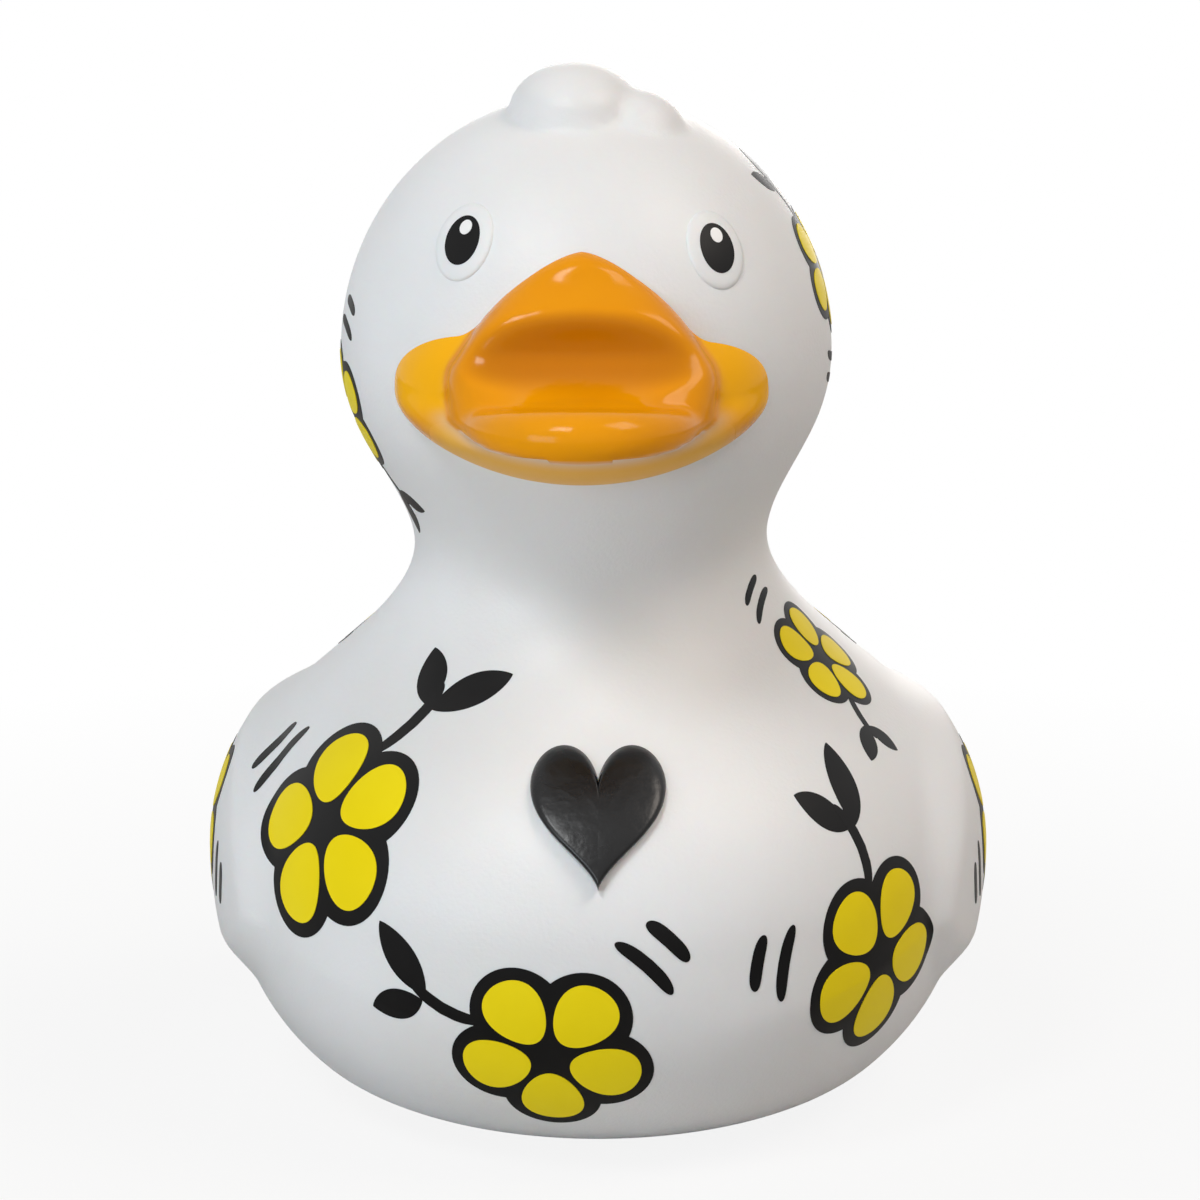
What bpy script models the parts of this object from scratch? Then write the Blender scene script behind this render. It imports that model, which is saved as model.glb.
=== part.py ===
"""A bath duck of soft vinyl, moulded hollow in one piece, with a whistle snapped into its base.

Metres, +Z up. The duck looks along -Y. The origin lies on the ground, in the middle of the
duck's footprint box. Body, neck, head, tail, wings and crest are one distance field, so that
they flow into each other as in the mould; a sphere's points are sent out to its surface.
"""

import math

import bmesh
import bpy
import numpy as np

MM = 0.001

# Body: an egg that lies on its belly, cut flat where it stands
BODY_HALF_WIDTH = 36.4 * MM
BODY_CHEST_REACH = 42.5 * MM
BODY_RUMP_REACH = 38.0 * MM
BODY_BELLY_DEPTH = 27.8 * MM
BODY_BACK_HEIGHT = 25.8 * MM
BELLY_FLAT = 4.5 * MM
BELLY_FULLNESS = 2.17
BASE_EDGE_SOFTNESS = 2.2 * MM

# Neck and head. The head sits a little to one side and forward of the body
NECK_ROOT_RADIUS = 19.4 * MM
NECK_TOP_RADIUS = 13.2 * MM
NECK_BLEND = 9.8 * MM
HEAD_RISE = 49.8 * MM
HEAD_FORWARD = 11.0 * MM
HEAD_SIDEWAYS = -1.1 * MM
HEAD_HALF_WIDTH = 22.9 * MM
HEAD_HALF_LENGTH = 22.5 * MM
HEAD_CROWN_HEIGHT = 23.7 * MM
HEAD_CHEEK_DEPTH = 19.3 * MM
CHEEK_BLEND = 8.8 * MM
FACE_TILT = math.radians(1.8)

# Tail, a blunt cone that turns up behind
TAIL_REACH = 42.5 * MM
TAIL_RISE = 21.0 * MM
TAIL_ROOT_RADIUS = 13.0 * MM
TAIL_TIP_RADIUS = 3.8 * MM
TAIL_BLEND = 9.0 * MM

# Wings, drops raised from the sides, round in front and pointed behind
WING_HALF_LENGTH = 28.0 * MM
WING_HALF_HEIGHT = 14.0 * MM
WING_RAISE = 1.9 * MM
WING_TILT = math.radians(15)
WING_BACKSET = 4.0 * MM
WING_LIFT = 4.0 * MM

# Crest, two curls of down: (sideways, forward, above the crown), and radii
CURL_PLACE = (-2.0 * MM, 3.5 * MM, -1.8 * MM)
CURL_RADII = (6.5 * MM, 7.0 * MM, 4.8 * MM)
SMALL_CURL_PLACE = (4.3 * MM, 3.6 * MM, -3.2 * MM)
SMALL_CURL_RADII = (5.1 * MM, 5.4 * MM, 4.1 * MM)

# Bill. Across, ahead of the face and above the mouth are its three directions
BILL_SIDEWAYS = -0.3 * MM
MOUTH_DROP = 3.0 * MM
BILL_ROOT = 6.0 * MM

# Upper bill, a pointed arch with a scoop above its rolled lip
ARCH_HALF_WIDTH = 12.9 * MM
ARCH_CORNER_LOSS = 1.4 * MM
ARCH_HEIGHT = 14.3 * MM
ARCH_REACH = 3.0 * MM
ARCH_TOP_BACKSET = 3.0 * MM
ARCH_STOUTNESS = 9.0 * MM
FLOOR_HALF_WIDTH = 11.6 * MM
FLOOR_REACH = 11.0 * MM
FLOOR_BACKSET = 1.0 * MM
FLOOR_HEIGHT = 3.2 * MM
LIP_HALF_WIDTH = 10.6 * MM
LIP_REACH = 11.2 * MM
LIP_CORNER_REACH = -2.0 * MM
LIP_RADIUS = 2.6 * MM
LIP_CORNER_RADIUS = 0.8 * MM
SCOOP_RADIUS = 8.2 * MM
SCOOP_BACKSET = 1.5 * MM

# Lower bill, a bowl under the lip whose ends are the cheeks
JAW_HALF_WIDTH = 17.0 * MM
JAW_MIDDLE = -9.0 * MM
JAW_CHEEK_REACH = 2.0 * MM
JAW_CHIN_REACH = 6.7 * MM
JAW_LEVEL = 1.8 * MM
JAW_CHIN_LEVEL = -3.0 * MM
JAW_RISE = 10.4 * MM
JAW_CHEEK_LOSS = 3.4 * MM
JAW_FRONT_LOSS = 5.0 * MM
JAW_MIDDLE_RISE = 1.6 * MM
JAW_DEPTH = 8.6 * MM
JAW_CORNER_LOSS = 3.2 * MM
JAW_STOUTNESS = 8.0 * MM
FLOOR_BLEND = 3.0 * MM
SCOOP_BLEND = 0.8 * MM
LIP_BLEND = 0.5 * MM
JAW_BLEND = 0.7 * MM

# Eye pads, low domes that carry the printed pupils
EYE_HALF_SPREAD = 11.4 * MM
EYE_RISE = 11.6 * MM
EYE_PAD_HALF_WIDTH = 3.0 * MM
EYE_PAD_HALF_HEIGHT = 3.85 * MM
EYE_PAD_RAISE = 0.45 * MM
EYE_LEAN = math.radians(14)

# Badge, a plain raised heart on the chest
BADGE_HALF_WIDTH = 6.1 * MM
BADGE_HEIGHT_ABOVE_GROUND = 34.6 * MM
BADGE_RAISE = 1.3 * MM
BADGE_EDGE_ROUNDING = 0.5 * MM

# Wall, the socket in the base and the whistle in it
WALL = 2.2 * MM
SOCKET_RADIUS = 8.0 * MM
SOCKET_DEPTH = 1.0 * MM
SOCKET_HOLE_RADIUS = 5.6 * MM
WHISTLE_CLEARANCE = 0.3 * MM
WHISTLE_HEIGHT = 7.0 * MM
WHISTLE_BARB = 0.9 * MM
WHISTLE_BARB_HEIGHT = 1.2 * MM
WHISTLE_WALL = 1.1 * MM
WHISTLE_FLOOR = 1.2 * MM
WHISTLE_BLOW_RADIUS = 1.1 * MM

# Places that follow from the sizes
BODY_CENTRE = np.array((0.0, 0.0, BODY_BELLY_DEPTH - BELLY_FLAT))
HEAD_CENTRE = BODY_CENTRE + np.array((HEAD_SIDEWAYS, -HEAD_FORWARD, HEAD_RISE))
TAIL_ROOT = BODY_CENTRE + np.array((0.0, BODY_RUMP_REACH * 0.55, BODY_BACK_HEIGHT * 0.22))
TAIL_TIP = BODY_CENTRE + np.array((0.0, TAIL_REACH - TAIL_TIP_RADIUS, TAIL_RISE))
NECK_ROOT = BODY_CENTRE + np.array((HEAD_SIDEWAYS * 0.3, -HEAD_FORWARD * 0.45, BODY_BACK_HEIGHT * 0.7))
NECK_TOP = HEAD_CENTRE + np.array((0.0, HEAD_FORWARD * 0.2, -HEAD_CHEEK_DEPTH * 0.4))

# How the skin's rings are shared out: body up to the first share, head from the second
NECK_START = 0.43
NECK_END = 0.64
SHOULDER_SLOPE = math.radians(20)
TAIL_SLOPE = math.radians(28)
CHIN_SLOPE = math.radians(-25)
RAY_REACH = 2 * BODY_CHEST_REACH

SKIN_COLOUR = (0.86, 0.85, 0.84, 1.0)
WHISTLE_COLOUR = (0.75, 0.74, 0.70, 1.0)


# Distance fields: negative inside, positive outside
def soft_union(first, second, blend):
    """The two shapes as one, with a fillet of about this size where they meet."""
    share = np.clip(0.5 + 0.5 * (second - first) / blend, 0.0, 1.0)
    return second + (first - second) * share - blend * share * (1.0 - share)


def soft_cut(shape, keep, blend):
    """What the shape and the kept half share, with its edge rounded."""
    return -soft_union(-shape, -keep, blend)


def egg(points, centre, low, high, fullness=2.0):
    """An ellipsoid with its own radius on each side of its centre, and fuller flanks below it."""
    offset = points - centre
    radii = np.where(offset < 0.0, np.array(low), np.array(high))
    share = offset / radii
    power = np.where(offset[..., 2] < 0.0, fullness, 2.0)
    level = np.hypot(share[..., 0], share[..., 1])
    size = (level**power + np.abs(share[..., 2]) ** power) ** (1.0 / power)
    slope = np.linalg.norm(share / radii, axis=-1) / np.maximum(np.linalg.norm(share, axis=-1), 1e-6)
    return (size - 1.0) / np.maximum(slope, 1e-6)


def round_rod(points, start, end, start_radius, end_radius):
    """A rod with round ends and its own radius at each."""
    line = end - start
    along = np.clip((points - start) @ line / (line @ line), 0.0, 1.0)
    distance = np.linalg.norm(points - start - along[..., None] * line, axis=-1)
    return distance - (start_radius + (end_radius - start_radius) * along)


def body_field(points):
    high = (BODY_HALF_WIDTH, BODY_RUMP_REACH, BODY_BACK_HEIGHT)
    low = (BODY_HALF_WIDTH, BODY_CHEST_REACH, BODY_BELLY_DEPTH)
    body = egg(points, BODY_CENTRE, low, high, BELLY_FULLNESS)
    tail = round_rod(points, TAIL_ROOT, TAIL_TIP, TAIL_ROOT_RADIUS, TAIL_TIP_RADIUS)
    return soft_union(body, tail, TAIL_BLEND)


def head_field(points):
    low = (HEAD_HALF_WIDTH, HEAD_HALF_LENGTH, HEAD_CHEEK_DEPTH)
    high = (HEAD_HALF_WIDTH, HEAD_HALF_LENGTH, HEAD_CROWN_HEIGHT)
    neck = round_rod(points, NECK_ROOT, NECK_TOP, NECK_ROOT_RADIUS, NECK_TOP_RADIUS)
    return soft_union(egg(points, HEAD_CENTRE, low, high), neck, CHEEK_BLEND)


def core_field(points):
    """Body, tail, neck and head with a flat base: what the inner wall follows too."""
    return soft_union(body_field(points), head_field(points), NECK_BLEND)


def skin_field(points):
    return soft_cut(core_field(points), -points[..., 2], BASE_EDGE_SOFTNESS)


def cavity_field(points):
    return soft_cut(core_field(points) + WALL, WALL - points[..., 2], BASE_EDGE_SOFTNESS)


# Sending points out to a field's surface
def cast(field, starts, directions, reach=RAY_REACH):
    """The point on each ray where it leaves the shape."""
    near = np.zeros(len(starts))
    far = np.full(len(starts), reach)
    for _ in range(40):
        middle = (near + far) / 2.0
        inside = field(starts + directions * middle[:, None]) < 0.0
        near = np.where(inside, middle, near)
        far = np.where(inside, far, middle)
    return starts + directions * near[:, None]


def spine_rays(sphere_points):
    """Rays for the points of a unit sphere: they fan out of the body, climb the neck, fan out of the head.

    They stand closer together at the back, where they find the tail.
    """
    turn = np.arctan2(sphere_points[:, 0], -sphere_points[:, 1])
    behind = (1.0 - np.cos(turn)) / 2.0
    rise = np.arcsin(np.clip(sphere_points[:, 2], -1.0, 1.0)) / math.pi + 0.5
    low = np.minimum(rise / NECK_START, 1.0)
    climb = np.clip((rise - NECK_START) / (NECK_END - NECK_START), 0.0, 1.0)
    high = np.maximum((rise - NECK_END) / (1.0 - NECK_END), 0.0)
    shoulder = SHOULDER_SLOPE + TAIL_SLOPE * behind**6
    slope = -math.pi / 2 + (shoulder + math.pi / 2) * (1.35 * low - 0.35 * low**2)
    slope = slope + (CHIN_SLOPE - shoulder) * climb + (math.pi / 2 - CHIN_SLOPE) * high
    starts = BODY_CENTRE + climb[:, None] * (HEAD_CENTRE - BODY_CENTRE)
    turn = turn + 0.45 * np.sin(turn) * behind**2
    level = np.cos(slope)
    directions = np.stack((level * np.sin(turn), -level * np.cos(turn), np.sin(slope)), axis=-1)
    return starts, directions


def add_object(name, mesh, material=None):
    obj = bpy.data.objects.new(name, mesh)
    bpy.context.scene.collection.objects.link(obj)
    if material:
        mesh.materials.append(material)
    mesh.shade_smooth()
    return obj


def add_tool(name, mesh):
    """A shape that a Boolean reads, and that isn't a piece itself."""
    obj = add_object(name, mesh)
    obj.hide_render = True
    obj.display_type = "WIRE"
    return obj


def sphere_on(field, name, segments, rings):
    """A sphere whose points are sent out to the field's surface."""
    bm = bmesh.new()
    bmesh.ops.create_uvsphere(bm, u_segments=segments, v_segments=rings, radius=1.0)
    points = np.array([vert.co[:] for vert in bm.verts])
    placed = cast(field, *spine_rays(points))
    for vert, point in zip(bm.verts, placed):
        vert.co = point
    mesh = bpy.data.meshes.new(name)
    bm.to_mesh(mesh)
    bm.free()
    return mesh


# The face's own frame, a little askew: x across, ahead of the face, z up from the head's centre
def face_point(x, ahead, z):
    across = x * math.cos(FACE_TILT) + z * math.sin(FACE_TILT)
    up = z * math.cos(FACE_TILT) - x * math.sin(FACE_TILT)
    return HEAD_CENTRE + np.array((across, -HEAD_HALF_LENGTH - ahead, up))


def loft(name, rings):
    """Closed rings of as many points each, bridged one to the next and capped at both ends."""
    bm = bmesh.new()
    loops = [[bm.verts.new(point) for point in ring] for ring in rings]
    for low, high in zip(loops, loops[1:]):
        for i in range(len(low)):
            j = (i + 1) % len(low)
            bm.faces.new((low[i], low[j], high[j], high[i]))
    bm.faces.new(reversed(loops[0]))
    bm.faces.new(loops[-1])
    bmesh.ops.recalc_face_normals(bm, faces=bm.faces)
    mesh = bpy.data.meshes.new(name)
    bm.to_mesh(mesh)
    bm.free()
    return mesh


def ease(share):
    share = np.clip(share, 0.0, 1.0)
    return share * share * (3.0 - 2.0 * share)


def arch_field(across, ahead, above):
    """The pointed arch of the upper bill, with a full front whose top leans back."""
    side = across / (ARCH_HALF_WIDTH - ARCH_CORNER_LOSS * ease(1.0 - 6.0 * above / ARCH_HEIGHT))
    rise = np.where(above > 0.0, above / ARCH_HEIGHT, -above / LIP_RADIUS)
    depth = BILL_ROOT + ARCH_REACH - ARCH_TOP_BACKSET * ease(2.4 * above / ARCH_HEIGHT - 1.1)
    front = (ahead + BILL_ROOT) / np.where(ahead > -BILL_ROOT, depth, -BILL_ROOT)
    size = ((side**1.5 + rise**1.65) ** 3.0 + front**6.0) ** (1.0 / 4.5)
    return (size - 1.0) * ARCH_STOUTNESS


def floor_field(across, ahead, above):
    """The shallow swelling between the arch and the lip."""
    side = across / FLOOR_HALF_WIDTH
    front = (ahead + FLOOR_BACKSET) / (FLOOR_REACH + FLOOR_BACKSET)
    size = np.sqrt(side**2 + front**2 + (above / FLOOR_HEIGHT) ** 2)
    return (size - 1.0) * FLOOR_HEIGHT


def lip_line(across, ahead):
    """The lip's middle line beside each point: its place, its radius, and the cosine of its turn."""
    reach = LIP_REACH - LIP_CORNER_REACH
    turn = np.arctan2(across / LIP_HALF_WIDTH, (ahead - LIP_CORNER_REACH) / reach)
    turn = np.minimum(turn, 0.6 * math.pi)
    swell = np.maximum(np.cos(turn), 0.0)
    radius = LIP_CORNER_RADIUS + (LIP_RADIUS - LIP_CORNER_RADIUS) * swell**1.3
    return LIP_HALF_WIDTH * np.sin(turn), reach * np.cos(turn), radius, swell


def lip_field(across, ahead, above):
    """The rolled edge, thin at the corners of the mouth."""
    side, front, radius, _ = lip_line(across, ahead)
    front = front + LIP_CORNER_REACH
    return np.sqrt((across - side) ** 2 + (ahead - front) ** 2 + (above + 0.1 * LIP_RADIUS) ** 2) - radius


def scoop_field(across, ahead, above):
    """The groove that is scooped out above the lip and narrows to the corners."""
    side, front, lip_radius, swell = lip_line(across, ahead)
    radius = SCOOP_RADIUS * swell**0.8 + 0.1 * LIP_RADIUS
    inward = 1.0 - SCOOP_BACKSET * swell / np.maximum(np.hypot(side, front), LIP_RADIUS)
    height = above + 0.1 * LIP_RADIUS - 0.96 * lip_radius - radius
    height = np.where(height > 0.0, 0.55 * height, height)
    front = front * inward + LIP_CORNER_REACH
    return np.sqrt((across - side * inward) ** 2 + (ahead - front) ** 2 + height**2) - radius


def jaw_field(across, ahead, above):
    """The bowl under the lip. It stands out most at the chin, and its ends rise to the cheeks."""
    share = across / JAW_HALF_WIDTH
    chin = ease((JAW_LEVEL - above) / (JAW_LEVEL - JAW_CHIN_LEVEL))
    reach = JAW_CHEEK_REACH + (JAW_CHIN_REACH - JAW_CHEEK_REACH) * chin
    reach = reach - 0.35 * np.maximum(above - JAW_LEVEL, 0.0) - JAW_MIDDLE
    level = np.hypot(share, (ahead - JAW_MIDDLE) / reach)
    rise = JAW_RISE - JAW_CHEEK_LOSS * share**2 - JAW_FRONT_LOSS * ease((2.0 * ahead + BILL_ROOT) / -JAW_MIDDLE)
    rise = np.maximum(rise - JAW_MIDDLE_RISE, 0.0) * ease(3.4 * share - 1.0) + JAW_MIDDLE_RISE
    drop = JAW_DEPTH - JAW_CORNER_LOSS * share**2
    height = above - JAW_LEVEL
    power = np.where(height > 0.0, 2.4, 2.8)
    height = np.abs(height) / np.where(height > 0.0, rise, drop)
    return ((level**power + height**power) ** (1.0 / power) - 1.0) * JAW_STOUTNESS


def bill_field(points):
    """The whole bill in one: arch, scoop, lip and jaw."""
    across = np.abs(points[..., 0] - HEAD_CENTRE[0] - BILL_SIDEWAYS)
    ahead = HEAD_CENTRE[1] - HEAD_HALF_LENGTH - points[..., 1]
    above = points[..., 2] - HEAD_CENTRE[2] + MOUTH_DROP
    place = (across, ahead, above)
    upper = soft_union(arch_field(*place), floor_field(*place), FLOOR_BLEND)
    upper = soft_cut(upper, -scoop_field(*place), SCOOP_BLEND)
    upper = soft_union(upper, lip_field(*place), LIP_BLEND)
    return soft_union(upper, jaw_field(*place), JAW_BLEND)


def bill():
    """A sphere's points, sent out from the bill's root and closer together in front."""
    bm = bmesh.new()
    bmesh.ops.create_uvsphere(bm, u_segments=46, v_segments=34, radius=1.0)
    points = np.array([vert.co[:] for vert in bm.verts])
    turn = np.arctan2(points[:, 0], -points[:, 1])
    turn = turn - 0.45 * np.sin(turn)
    level = np.hypot(points[:, 0], points[:, 1])
    directions = np.stack((level * np.sin(turn), -level * np.cos(turn), points[:, 2]), axis=-1)
    root = (BILL_SIDEWAYS, BILL_ROOT / 1.5 - HEAD_HALF_LENGTH, JAW_CHIN_LEVEL / 2.0 - MOUTH_DROP)
    starts = np.tile(HEAD_CENTRE + np.array(root), (len(points), 1))
    for vert, point in zip(bm.verts, cast(bill_field, starts, directions, 2.0 * JAW_HALF_WIDTH)):
        vert.co = point
    mesh = bpy.data.meshes.new("bill")
    bm.to_mesh(mesh)
    bm.free()
    return mesh


def raised_patch(name, outline, place, towards, reach, profile):
    """A pad that follows the skin: rings of the outline, each cast on to the skin and lifted off it.

    outline holds (across, up) pairs; place lies outside the skin, and towards aims from there to a
    point inside at the given reach; profile holds (share of the outline, lift) pairs from the sunk
    foot to the middle.
    """
    towards = towards / np.linalg.norm(towards)
    across = np.cross(towards, (0.0, 0.0, 1.0))
    across = across / np.linalg.norm(across)
    up = np.cross(across, towards)
    flat = np.array(outline)
    rings = []
    for share, lift in profile:
        starts = place + share * (flat[:, :1] * across + flat[:, 1:] * up)
        found = cast(lambda points: -skin_field(points), starts, np.tile(towards, (len(flat), 1)), reach)
        rings.append(found - towards * lift)
    return loft(name, rings)


def lean(outline, angle):
    """The outline, turned about its middle."""
    turn = np.array(((math.cos(angle), math.sin(angle)), (-math.sin(angle), math.cos(angle))))
    return [tuple(point) for point in np.array(outline) @ turn]


def eye_pad(side):
    """A low oval dome on the face."""
    eye = face_point(side * EYE_HALF_SPREAD, -HEAD_HALF_LENGTH, EYE_RISE)
    surface = cast(skin_field, eye[None, :], np.array(((0.0, -1.0, 0.0),)))[0]
    outward = (surface - HEAD_CENTRE) / np.linalg.norm(surface - HEAD_CENTRE)
    place = surface + outward * EYE_PAD_HALF_HEIGHT
    turns = [2.0 * math.pi * i / 24 for i in range(24)]
    outline = [(EYE_PAD_HALF_WIDTH * math.cos(t), EYE_PAD_HALF_HEIGHT * math.sin(t)) for t in turns]
    outline = lean(outline, -side * EYE_LEAN)
    profile = [
        (1.0, -0.8 * MM),
        (1.0, 0.3 * EYE_PAD_RAISE),
        (0.93, 0.7 * EYE_PAD_RAISE),
        (0.7, 0.9 * EYE_PAD_RAISE),
        (0.35, EYE_PAD_RAISE),
    ]
    name = "eye_pad_left" if side > 0 else "eye_pad_right"
    return raised_patch(name, outline, place, -outward, HEAD_HALF_LENGTH, profile)


def wing(side):
    """A drop on one side of the body, round in front and pointed behind, with a soft edge."""
    outline = []
    for i in range(36):
        turn = 2.0 * math.pi * i / 36
        along = -math.cos(turn)
        beside = math.sin(turn) * (1.0 - along) ** 0.45
        along, beside = along * WING_HALF_LENGTH, 0.82 * beside * WING_HALF_HEIGHT
        back = along * math.cos(WING_TILT) - beside * math.sin(WING_TILT)
        up = beside * math.cos(WING_TILT) + along * math.sin(WING_TILT)
        outline.append((side * back, up))
    place = BODY_CENTRE + np.array((side * 1.2 * BODY_HALF_WIDTH, WING_BACKSET, WING_LIFT))
    profile = [
        (1.0, -0.8 * MM),
        (1.0, 0.25 * WING_RAISE),
        (0.96, 0.70 * WING_RAISE),
        (0.88, WING_RAISE),
        (0.65, WING_RAISE),
        (0.40, WING_RAISE),
        (0.15, WING_RAISE),
    ]
    name = "wing_left" if side > 0 else "wing_right"
    inward = np.array((-side, 0.0, 0.0))
    return raised_patch(name, outline, place, inward, BODY_HALF_WIDTH, profile)


def pebble(name, place, radii, segments=18, rings=11):
    """An ellipsoid placed in the face's frame."""
    bm = bmesh.new()
    bmesh.ops.create_uvsphere(bm, u_segments=segments, v_segments=rings, radius=1.0)
    for vert in bm.verts:
        x, back, up = (share * radius for share, radius in zip(vert.co, radii))
        vert.co = face_point(place[0] + x, place[1] - back, place[2] + up)
    mesh = bpy.data.meshes.new(name)
    bm.to_mesh(mesh)
    bm.free()
    return mesh


def curl(name, place, radii):
    sideways, forward, above = place
    return pebble(name, (sideways, forward - HEAD_HALF_LENGTH, HEAD_CROWN_HEIGHT + above), radii)


def tail_end():
    """The tail's round end, which the skin's own rings are too coarse for."""
    bm = bmesh.new()
    made = bmesh.ops.create_uvsphere(bm, u_segments=14, v_segments=9, radius=TAIL_TIP_RADIUS * 1.05)
    bmesh.ops.translate(bm, verts=made["verts"], vec=TAIL_TIP)
    mesh = bpy.data.meshes.new("tail_end")
    bm.to_mesh(mesh)
    bm.free()
    return mesh


def heart_outline(half_width, points=40):
    """A plain heart, point down, about its own middle."""
    outline = []
    for i in range(points):
        turn = 2.0 * math.pi * i / points
        across = 16.0 * math.sin(turn) ** 3
        up = 13.0 * math.cos(turn) - 5.0 * math.cos(2 * turn) - 2.0 * math.cos(3 * turn) - math.cos(4 * turn)
        outline.append((-across * half_width / 16.0, (up + 2.5) * half_width / 16.0))
    return outline


def badge():
    place = np.array((0.0, -1.2 * BODY_CHEST_REACH, BADGE_HEIGHT_ABOVE_GROUND))
    inward = np.array((0.0, 1.0, 0.0))
    rounding = BADGE_EDGE_ROUNDING / BADGE_HALF_WIDTH
    profile = [
        (1.0, -1.0 * MM),
        (1.0, BADGE_RAISE - BADGE_EDGE_ROUNDING),
        (1.0 - 0.3 * rounding, BADGE_RAISE - 0.3 * BADGE_EDGE_ROUNDING),
        (1.0 - rounding, BADGE_RAISE),
        (0.5, BADGE_RAISE),
    ]
    return raised_patch("badge", heart_outline(BADGE_HALF_WIDTH), place, inward, BODY_CHEST_REACH, profile)


def cylinder(name, radius, bottom, top, sides=40):
    bm = bmesh.new()
    made = bmesh.ops.create_cone(
        bm, cap_ends=True, segments=sides, radius1=radius, radius2=radius, depth=top - bottom
    )
    bmesh.ops.translate(bm, verts=made["verts"], vec=(BODY_CENTRE[0], BODY_CENTRE[1], (top + bottom) / 2.0))
    mesh = bpy.data.meshes.new(name)
    bm.to_mesh(mesh)
    bm.free()
    return mesh


def combine(body, operation, tool):
    modifier = body.modifiers.new(tool.name, "BOOLEAN")
    modifier.operation = operation
    modifier.object = tool
    modifier.solver = "EXACT"


def make_duck(material):
    duck = add_object("duck", sphere_on(skin_field, "duck", segments=58, rings=54), material)
    added = [tail_end(), wing(-1), wing(1), badge(), eye_pad(-1), eye_pad(1)]
    added += [curl("curl", CURL_PLACE, CURL_RADII), curl("small_curl", SMALL_CURL_PLACE, SMALL_CURL_RADII)]
    added += [bill()]
    for mesh in added:
        combine(duck, "UNION", add_tool(mesh.name + "_form", mesh))
    cavity = sphere_on(cavity_field, "cavity", segments=28, rings=24)
    socket = cylinder("socket", SOCKET_RADIUS, -SOCKET_DEPTH, SOCKET_DEPTH)
    hole = cylinder("socket_hole", SOCKET_HOLE_RADIUS, -SOCKET_DEPTH, 2.0 * WALL)
    for mesh in (cavity, socket, hole):
        combine(duck, "DIFFERENCE", add_tool(mesh.name + "_cutter", mesh))
    return duck


def make_whistle(material):
    """A turned plug: a flange in the socket, a waist in the hole, a barb above it and an open barrel."""
    seat = SOCKET_DEPTH - WHISTLE_CLEARANCE
    flange = SOCKET_RADIUS - WHISTLE_CLEARANCE
    waist = SOCKET_HOLE_RADIUS - WHISTLE_CLEARANCE
    barb_bottom = WALL + WHISTLE_CLEARANCE
    barb_top = barb_bottom + WHISTLE_BARB_HEIGHT
    bore = waist - WHISTLE_WALL
    profile = [
        (WHISTLE_BLOW_RADIUS, 0.1 * MM),
        (flange - 0.2 * MM, 0.1 * MM),
        (flange, 0.3 * MM),
        (flange, seat),
        (waist, seat),
        (waist, barb_bottom),
        (waist + WHISTLE_BARB, barb_bottom),
        (waist, barb_top),
        (waist, WHISTLE_HEIGHT),
        (bore, WHISTLE_HEIGHT),
        (bore, WHISTLE_FLOOR),
        (WHISTLE_BLOW_RADIUS, WHISTLE_FLOOR),
    ]
    bm = bmesh.new()
    verts = [bm.verts.new((radius, 0.0, height)) for radius, height in profile]
    edges = [bm.edges.new((verts[i], verts[(i + 1) % len(verts)])) for i in range(len(verts))]
    bmesh.ops.spin(
        bm, geom=verts + edges, cent=(0, 0, 0), axis=(0, 0, 1), angle=2.0 * math.pi, steps=24, use_merge=True
    )
    bmesh.ops.recalc_face_normals(bm, faces=bm.faces)
    bmesh.ops.translate(bm, verts=bm.verts, vec=(BODY_CENTRE[0], BODY_CENTRE[1], 0.0))
    mesh = bpy.data.meshes.new("whistle")
    bm.to_mesh(mesh)
    bm.free()
    whistle = add_object("whistle", mesh, material)
    mesh.set_sharp_from_angle(angle=math.radians(35))
    return whistle


def plastic(name, colour, roughness):
    material = bpy.data.materials.new(name)
    material.use_nodes = True
    shader = material.node_tree.nodes["Principled BSDF"]
    shader.inputs["Base Color"].default_value = colour
    shader.inputs["Roughness"].default_value = roughness
    shader.inputs["Metallic"].default_value = 0.0
    return material


def centre_on_ground():
    """Moves everything so that the origin is under the middle of the duck's box."""
    bpy.context.view_layer.update()
    duck = bpy.data.objects["duck"].evaluated_get(bpy.context.evaluated_depsgraph_get())
    corners = np.array([corner[:] for corner in duck.bound_box])
    middle = (corners.min(axis=0) + corners.max(axis=0)) / 2.0
    for obj in bpy.data.objects:
        obj.location = (-middle[0], -middle[1], 0.0)


def main():
    for obj in list(bpy.data.objects):
        bpy.data.objects.remove(obj)
    make_duck(plastic("white_vinyl", SKIN_COLOUR, 0.45))
    make_whistle(plastic("whistle_plastic", WHISTLE_COLOUR, 0.5))
    centre_on_ground()


main()
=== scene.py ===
# %% [markdown]
# # A printed bath duck
#
# This lesson dresses a bath duck of white vinyl: a hollow moulding with an orange bill, a black
# heart on its chest and a print of flowers all round. The measured solids are loaded as a fixed
# frame. Each cell then makes one piece or one finish in its place.

# %% Load the frame
import math

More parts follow.
